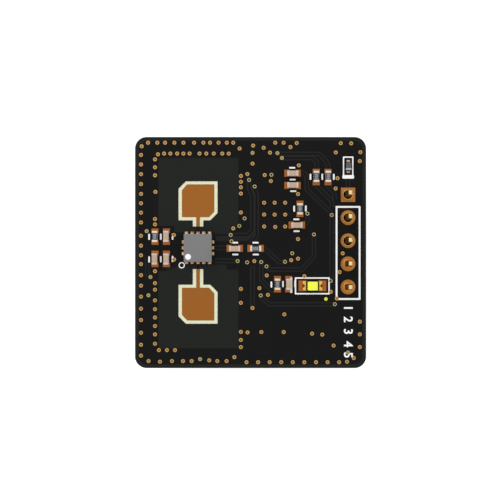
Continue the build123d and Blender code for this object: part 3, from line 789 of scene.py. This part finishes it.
pinSizes = {"half": 0.25 * mm, "taper": 0.3 * mm, "tipX": 0.5, "tipY": 0.68, "low": 0.001 * mm,
            "high": 8.829 * mm, "cut": 0.018 * mm}
pin = block("pin", Vector((-pinSizes["half"], -pinSizes["half"], pinSizes["low"] + pinSizes["taper"])),
            Vector((pinSizes["half"], pinSizes["half"], pinSizes["high"] - pinSizes["taper"])))
editing(True)
for sign in (1, -1):
    pick(pin, "faces", lambda face: face.normal.z * sign > 0.9)
    bpy.ops.mesh.extrude_region_move(TRANSFORM_OT_translate={"value": (0, 0, sign * pinSizes["taper"])})
    bpy.ops.transform.resize(value=(pinSizes["tipX"], pinSizes["tipY"], 1))
pick(pin, "edges", lambda edge: True)
bpy.ops.mesh.bevel(offset=pinSizes["cut"], segments=2, affect="EDGES")
bpy.ops.mesh.select_all(action="SELECT")
bpy.ops.mesh.bisect(plane_co=(0, 0, boardBack), plane_no=(0, 0, 1))
editing(False)
coat(pin, "pin", "pinShade", "pinFacetShade")
# painted shade: the pin's sides facing -X and -Y above the board are dark, and the tip's tapered facets a
# darker gold
paint(pin, 1, lambda centre, normal: centre.z > boardBack and (normal.x < -0.8 or normal.y < -0.8))
paint(pin, 2, lambda centre, normal: centre.z > pinSizes["high"] - pinSizes["taper"] and normal.z < 0.9)
smooth(pin)
for number, place in enumerate(pinPlaces, 1):
    mount(joined(f"headerPin{number}", [copyOf(pin, *place)]), "pin_gold", f"header_pin_{number}")
bpy.data.objects.remove(pin)
print("header made")


# two-ended chip parts, each kind modelled once

# how far each part was set down off its place, in mm
setOff = {"capacitor_1": (0, -0.04), "capacitor_3": (0.01, -0.035), "capacitor_4": (0, -0.025),
          "capacitor_5": (0.01, -0.055), "capacitor_6": (0.01, -0.01), "capacitor_7": (-0.01, -0.04),
          "capacitor_8": (0, -0.01), "resistor_1": (0.015, -0.03), "resistor_2": (0.01, 0),
          "resistor_3": (0, 0.02), "resistor_4": (0, 0.02), "resistor_5": (0, -0.03),
          "resistor_6": (-0.01, 0)}
passiveSizes = {"half": 0.49 * mm, "side": 0.24 * mm, "cap": 0.2 * mm, "capCut": 0.035 * mm,
                "bodySide": 0.232 * mm, "bodyCut": 0.035 * mm, "bodyDrop": 0.015 * mm, "bodyTuck": 0.02 * mm,
                "capacitorRise": 0.5 * mm, "resistorRise": 0.35 * mm}


def passiveModels(height, bodyLook, sideToneAndHighlight, capLook, sideLimit):
    # body and caps, made at the origin; the body's sides take their own finish: the resistor's own ceramic,
    # and for the capacitor a painted highlight in the caps' tone along its sides and rounded edges
    reach, side = passiveSizes["half"], passiveSizes["side"]
    inner = reach - passiveSizes["cap"]
    bodyHigh = Vector((inner + passiveSizes["bodyTuck"], passiveSizes["bodySide"],
                       height / 2 - passiveSizes["bodyDrop"]))
    body = block("body", -bodyHigh, bodyHigh, passiveSizes["bodyCut"])
    coat(body, bodyLook, sideToneAndHighlight)
    paint(body, 1, lambda centre, normal: abs(normal.z) < sideLimit)
    smooth(body)
    caps = [block("cap", Vector((low, -side, -height / 2)),
                  Vector((low + passiveSizes["cap"], side, height / 2)), passiveSizes["capCut"], 3)
            for low in (-reach, inner)]
    caps = joined("caps", caps)
    coat(caps, capLook)
    smooth(caps)
    return body, caps


def turnOf(centre, caps):
    nearest = min(caps, key=lambda box: (middle(box) - centre).length)
    away = middle(nearest) - centre
    return math.pi / 2 if abs(away.y) > abs(away.x) else 0


def placePassives(kind, count, models, capNodes, slotName, marks=None):
    body, caps = models
    capBoxes = [box for node in capNodes for box in islands(node)]
    places = []
    for number in range(1, count + 1):
        node = f"{kind}_{number}"
        centre = middle(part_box(node)) + Vector((*setOff.get(node, (0, 0)), 0)) * mm
        places.append((*centre, turnOf(centre, capBoxes)))
        mount(joined(f"{kind}Body{number}", [copyOf(body, *places[-1])]), slotName, node)
    bpy.data.objects.remove(body)
    if marks:
        mount(copiesAt(f"{kind}Marks", marks, places), "print_white")
    mount(copiesAt(f"{kind}Caps", caps, places), "end_cap_tin", *capNodes)


def lettering(name, words, size, rise, weight):
    # plain figures as a thin solid, centred on the origin
    text = bpy.data.curves.new(name, "FONT")
    text.body = words
    text.size = size
    text.extrude = rise / 2
    text.offset = weight
    text.resolution_u = 4
    piece = bpy.data.objects.new(name, text)
    bpy.context.collection.objects.link(piece)
    selectOnly(piece)
    bpy.ops.object.convert(target="MESH")
    piece = bpy.context.object
    bpy.ops.object.origin_set(type="ORIGIN_GEOMETRY", center="BOUNDS")
    piece.location = (0, 0, 0)
    return piece


markSizes = {"size": 0.34 * mm, "rise": 0.006 * mm, "weight": 0.004 * mm, "level": 0.162 * mm}
figures = lettering("figures", "103", markSizes["size"], markSizes["rise"], markSizes["weight"])
figures.location = (0, 0, markSizes["level"])
settle(figures)
coat(figures, "mark")
# painted highlight: the capacitor body's sides and rounded edges take the caps' tone
capacitorModels = passiveModels(passiveSizes["capacitorRise"], "capacitor", "capacitorCap", "capacitorCap",
                                0.9)
placePassives("capacitor", 12, capacitorModels, ["capacitor_end_caps", "back_capacitor_end_caps"],
              "capacitor_ceramic")
resistorModels = passiveModels(passiveSizes["resistorRise"], "resistor", "ceramic", "resistorCap", 0.3)
placePassives("resistor", 6, resistorModels, ["resistor_end_caps"], "resistor_coat", figures)
print("chip parts made")


# radar chip

chipSizes = {"low": Vector((0.035, -0.025, 0)) * mm, "high": Vector((0, 0.045, 0)) * mm, "cut": 0.035 * mm,
             "terminalCut": 0.045 * mm, "dot": 0.25 * mm, "dotShift": Vector((0.05, 0.04, 0)) * mm}
inkSizes = {"rise": 0.018 * mm, "cut": 0.006 * mm}  # of the printed dots

chipLow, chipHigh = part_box("radar_chip")
chip = block("radarChip", chipLow + chipSizes["low"], chipHigh - chipSizes["high"], chipSizes["cut"])
dress(chip, ["chip"], "chip_plastic", "radar_chip")
terminals = joined("radarTerminals", [block("terminal", low, high, chipSizes["terminalCut"])
                                      for low, high in islands("radar_chip_terminals")])
dress(terminals, ["terminal", "terminalTop"], "terminal_tin", "radar_chip_terminals")
paint(terminals, 1, lambda centre, normal: normal.z > 0.95)
dotPlace = middle(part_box("chip_index_dot")) + chipSizes["dotShift"]
dot = disc("indexDot", (*dotPlace.xy, chipHigh.z), chipSizes["dot"], inkSizes["rise"], 48, inkSizes["cut"])
dress(dot, ["ink"], "print_white", "chip_index_dot")


# light emitting diode

ledSizes = {"baseCut": 0.02 * mm, "goldCut": 0.018 * mm, "notch": 0.17 * mm, "shade": 0.1 * mm,
            "shadeIn": 0.065 * mm, "shadeRise": 0.012 * mm, "shadeCut": 0.004 * mm, "lensCut": 0.04 * mm,
            "lensShorter": Vector((0, 0.04, 0)) * mm, "spot": 0.15 * mm}
terminalLow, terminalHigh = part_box("led_terminals")
notchY = (terminalLow.y + terminalHigh.y) / 2
for piece in (softened("ledBase", "led_base", ledSizes["baseCut"], "ledBase", "led_base"),
              softened("ledTerminals", "led_terminals", ledSizes["goldCut"], "ledGold", "led_gold")):
    for x in (terminalLow.x, terminalHigh.x):
        cutAway(piece, disc("drill", (x, notchY, landFront - drillSizes["below"]), ledSizes["notch"],
                            drillSizes["ledRise"], 32))
lensLow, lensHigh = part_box("led_lens")
lens = block("ledLens", lensLow, lensHigh - ledSizes["lensShorter"], ledSizes["lensCut"], 4,
             lambda edge: not atLevel(lensLow.z)(edge))
dress(lens, ["ledLens"], "led_lens", "led_lens")
# painted shadow: dark discs on the land in the terminals' notches
notches = joined("ledNotchShadowDiscs", [
    disc("notch", (x, notchY, landFront), ledSizes["shade"], ledSizes["shadeRise"], 32, ledSizes["shadeCut"])
    for x in (terminalLow.x + ledSizes["shadeIn"], terminalHigh.x - ledSizes["shadeIn"])])
dress(notches, ["notch"], "land_copper")
spotPlace = middle(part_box("polarity_dot"))
spot = disc("polaritySpot", (*spotPlace.xy, boardFront), ledSizes["spot"], inkSizes["rise"], 32,
            inkSizes["cut"])
dress(spot, ["yellowInk"], "print_yellow", "polarity_dot")


# small signal diode: body, cathode band, and feet that reach out over the lands

diodeSizes = {"cut": 0.04 * mm, "bandCut": 0.012 * mm, "bandLow": Vector((-0.012, 0.01, 0)) * mm,
              "bandHigh": Vector((0.02, 0.03, 0)) * mm, "bandFoot": 0.05 * mm, "footCut": 0.03 * mm,
              "footRise": 0.07 * mm, "footIn": 0.01 * mm, "highlightPadRise": 0.09 * mm, "highlightPadIn": 0.065 * mm,
              "highlightPadShows": 0.003 * mm}
diodeLow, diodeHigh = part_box("diode_body")
diode = block("diodeBody", diodeLow, diodeHigh, diodeSizes["cut"], 3)
dress(diode, ["diode"], "diode_plastic", "diode_body")
bandLow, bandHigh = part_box("diode_band")
bandLow.z = diodeLow.z + diodeSizes["bandFoot"]
band = block("diodeBand", bandLow + diodeSizes["bandLow"], bandHigh + diodeSizes["bandHigh"],
             diodeSizes["bandCut"])
dress(band, ["band"], "print_white", "diode_band")


def footRow(spans, inset, rise):
    return [block("foot", Vector((diodeLow.x + inset, low * mm, landFront)),
                  Vector((diodeHigh.x - inset, high * mm, landFront + rise)), diodeSizes["footCut"], 3)
            for low, high in spans]


# lower and higher edge in mm of each foot, painted in shade, and of the raised pad on it whose top is a
# painted highlight
footSpans = [(7.7, 8.03), (6.84, 7.2)]
highlightPadSpans = [(7.82, 7.99), (6.9, 7.02)]
feet = joined("diodeFeet", footRow(footSpans, diodeSizes["footIn"], diodeSizes["footRise"])
              + footRow(highlightPadSpans, diodeSizes["highlightPadIn"], diodeSizes["highlightPadRise"]))
dress(feet, ["footShade", "foot", "goldFootHighlight"], "terminal_tin", "diode_feet")
highlightPadTop = landFront + diodeSizes["footRise"] + diodeSizes["highlightPadShows"]
# painted highlight: the pads' tops, tan on the upper foot and gold on the lower; the rest of each foot is
# painted shade
paint(feet, 1, lambda centre, normal: centre.z > highlightPadTop and centre.y > diodeLow.y)
paint(feet, 2, lambda centre, normal: centre.z > highlightPadTop and centre.y < diodeLow.y)
print("chips made")


# print: rounded bars, frames, a ring and plain figures

printSizes = {"round": 0.075 * mm, "frameRound": 0.05 * mm, "rise": 0.02 * mm,
              "shorter": 0.03 * mm, "narrower": 0.021 * mm, "ring": (-5.957 * mm, -1.1 * mm)}


def inked(name, pieces, *stoodFor):
    whole = joined(name, pieces)
    coat(whole, "ink")
    mount(whole, "print_white", *stoodFor)


def bar(low, high):
    room = 0.49 * min(high.x - low.x, high.y - low.y)
    return block("bar", low, high, min(printSizes["round"], room), 4, standing)


def frameOf(low, high, line):
    piece = block("frame", low, high)
    editing(True)
    pick(piece, "faces", lambda face: abs(face.normal.z) > 0.9)
    bpy.ops.mesh.inset(thickness=line, use_even_offset=True)
    bpy.ops.mesh.bridge_edge_loops()
    pick(piece, "edges", standing)
    bpy.ops.mesh.bevel(offset=printSizes["frameRound"], segments=3, affect="EDGES")
    turnOutward()
    editing(False)
    return piece


def corner(x, y, z=0.0):
    return Vector((x * mm, y * mm, boardFront + z))


def drawnIn(low, high):
    edge = [printSizes["narrower"], printSizes["shorter"]]
    if high.x - low.x > high.y - low.y:
        edge.reverse()
    edge = Vector((*edge, 0))
    return low + edge, high - edge


# low and high corner in mm, and the height of the ink
extraBars = [((3.78, -3.0), (3.845, -2.42), 1.1 * printSizes["rise"]),
             ((3.42, -3.5), (3.605, -2.16), 2.2 * printSizes["rise"])]
bars = [bar(*drawnIn(*box)) for box in islands("printed_ticks")]
bars += [bar(corner(*low), corner(*high, rise)) for low, high, rise in extraBars]
inked("printedBars", bars, "printed_ticks")

# low and high corner in mm, and the width of the line
frameSpans = [((7.36, -4.1), (9.51, 4.025), 0.158 * mm), ((3.825, -3.625), (6.85, -2.148), 0.12 * mm),
              ((7.987, 6.42), (8.896, 8.308), 0.11 * mm)]
frames = [frameOf(corner(*low), corner(*high, printSizes["rise"]), line) for low, high, line in frameSpans]
# the broad low line of the diode's frame
frames.append(bar(corner(7.945, 6.395), corner(8.945, 6.7, 1.1 * printSizes["rise"])))
ringProfile = [(0.185, 0), (0.27, 0), (0.27, 0.014), (0.262, 0.02), (0.193, 0.02), (0.185, 0.014)]
frames.append(lathe("ring", ringProfile, printSizes["ring"]))
inked("printedFrames", frames, "printed_frames")

figureSizes = {"size": 1.06 * mm, "weight": 0.02 * mm, "column": 8.46 * mm}
figureRows = {"1": -4.8, "2": -5.78, "3": -6.83, "4": -7.93, "5": -8.87}
terminalFigures = []
for words, y in figureRows.items():
    figure = lettering("figure", words, figureSizes["size"], printSizes["rise"], figureSizes["weight"])
    figure.location = (figureSizes["column"], y * mm, boardFront + printSizes["rise"] / 2)
    figure.rotation_euler = (0, 0, -math.pi / 2)
    settle(figure)
    terminalFigures.append(figure)
inked("terminalFigures", terminalFigures)
print("print made")


# back of the board

# node, width of the softened edge in mm, its steps, finish and slot
backPieces = {
    "headerHousing": ("header_housing", 0.06, 2, "housing", "header_plastic"),
    "controllerBody": ("microcontroller", 0.05, 2, "blackChip", "chip_plastic"),
    "controllerTerminals": ("microcontroller_terminals", 0.02, 1, "terminal", "terminal_tin"),
    "crystalBase": ("crystal_base", 0.05, 2, "crystalBase", "crystal_ceramic"),
    "crystalLid": ("crystal_lid", 0.08, 3, "crystalLid", "crystal_lid"),
    "regulatorBody": ("regulator_body", 0.06, 2, "regulator", "regulator_plastic"),
    "regulatorLeads": ("regulator_leads", 0.03, 2, "terminal", "terminal_tin"),
}
for name, (node, cut, steps, look, slotName) in backPieces.items():
    softened(name, node, cut * mm, look, slotName, steps)

dimpleSizes = {"fromCorner": 0.55 * mm, "radius": 0.22 * mm, "rise": 0.01 * mm, "proud": 0.004 * mm,
               "cut": 0.003 * mm}
controllerLow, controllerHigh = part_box("microcontroller")
dimple = disc("controllerDimple", (controllerLow.x + dimpleSizes["fromCorner"],
                                   controllerHigh.y - dimpleSizes["fromCorner"],
                                   controllerLow.z - dimpleSizes["proud"]),
              dimpleSizes["radius"], dimpleSizes["rise"], 32, dimpleSizes["cut"])
dress(dimple, ["dimple"], "chip_plastic")
print("back made")


# floor, light and camera

stageSizes = {"floor": 0.6, "world": 0.85, "backdropGlow": 0.55}
keySizes = {"place": (-0.08, 0.12, 0.16), "side": 0.12, "power": 0.08}


def seenRays(tree):
    # 1 for what is seen, also in metal and through clear pieces, 0 for light that falls on things
    rays = tree.nodes.new("ShaderNodeLightPath")
    seen = rays.outputs["Is Camera Ray"]
    for kind in ("Is Glossy Ray", "Is Transmission Ray"):
        seen = reckon(tree, "ADD", seen, rays.outputs[kind], True)
    return seen


def stageMaterial():
    # white in the picture and in reflections, and dimmer where the board shades it
    material = bpy.data.materials.new("paleFloor")
    material.use_nodes = True
    tree = material.node_tree
    shader = tree.nodes["Principled BSDF"]
    shader.inputs["Base Color"].default_value = tone(232, 232, 232)
    shader.inputs["Roughness"].default_value = 0.9
    shader.inputs["Specular IOR Level"].default_value = 0.1
    shader.inputs["Emission Color"].default_value = (1, 1, 1, 1)
    glow = reckon(tree, "MULTIPLY", seenRays(tree), stageSizes["backdropGlow"])
    tree.links.new(glow, shader.inputs["Emission Strength"])
    side = tree.nodes.new("ShaderNodeNewGeometry")  # clear from below, so that the back can be seen
    front = reckon(tree, "SUBTRACT", 1.0, side.outputs["Backfacing"])
    tree.links.new(front, shader.inputs["Alpha"])
    return material


bpy.ops.object.select_all(action="DESELECT")
bpy.ops.mesh.primitive_plane_add(size=stageSizes["floor"], location=(0, 0, 0))
floor = bpy.context.object
floor.name = "floor"
floor.data.materials.append(stageMaterial())

world = bpy.data.worlds.new("softRoom")
bpy.context.scene.world = world
world.use_nodes = True
room = world.node_tree
ambient = room.nodes["Background"]
ambient.inputs["Color"].default_value = (1, 1, 1, 1)
level = addNode(room, "ShaderNodeMapRange", {"Value": seenRays(room), "To Min": stageSizes["world"]})
room.links.new(level.outputs["Result"], ambient.inputs["Strength"])

bpy.ops.object.light_add(type="AREA", location=keySizes["place"])
key = bpy.context.object
key.name = "softBox"
key.data.size = keySizes["side"]
key.data.energy = keySizes["power"]
key.rotation_euler = (Vector((0, 0, boardFront)) - key.location).to_track_quat("-Z", "Y").to_euler()

# straight down from above the point that the pins lean away from
cameraSizes = {"height": 72 * mm, "footX": 0.3 * mm, "footY": -2.3 * mm, "pixelsPerMm": 11.555,
               "centreX": 250.59, "centreY": 252.52, "pixels": 500, "sensor": 36.0, "near": 0.001, "far": 10}
bpy.ops.object.camera_add(location=(cameraSizes["footX"], cameraSizes["footY"],
                                    boardFront + cameraSizes["height"]), rotation=(0, 0, 0))
camera = bpy.context.object
camera.name = "camera"
scale = cameraSizes["pixelsPerMm"] / mm
half = cameraSizes["pixels"] / 2
camera.data.sensor_width = cameraSizes["sensor"]
camera.data.lens = cameraSizes["sensor"] * cameraSizes["height"] * scale / cameraSizes["pixels"]
camera.data.shift_x = (half - cameraSizes["footX"] * scale - cameraSizes["centreX"]) / cameraSizes["pixels"]
camera.data.shift_y = (cameraSizes["centreY"] - half - cameraSizes["footY"] * scale) / cameraSizes["pixels"]
camera.data.clip_start = cameraSizes["near"]
camera.data.clip_end = cameraSizes["far"]
bpy.context.scene.camera = camera

bpy.context.scene.view_settings.view_transform = "Standard"
print("stage made")
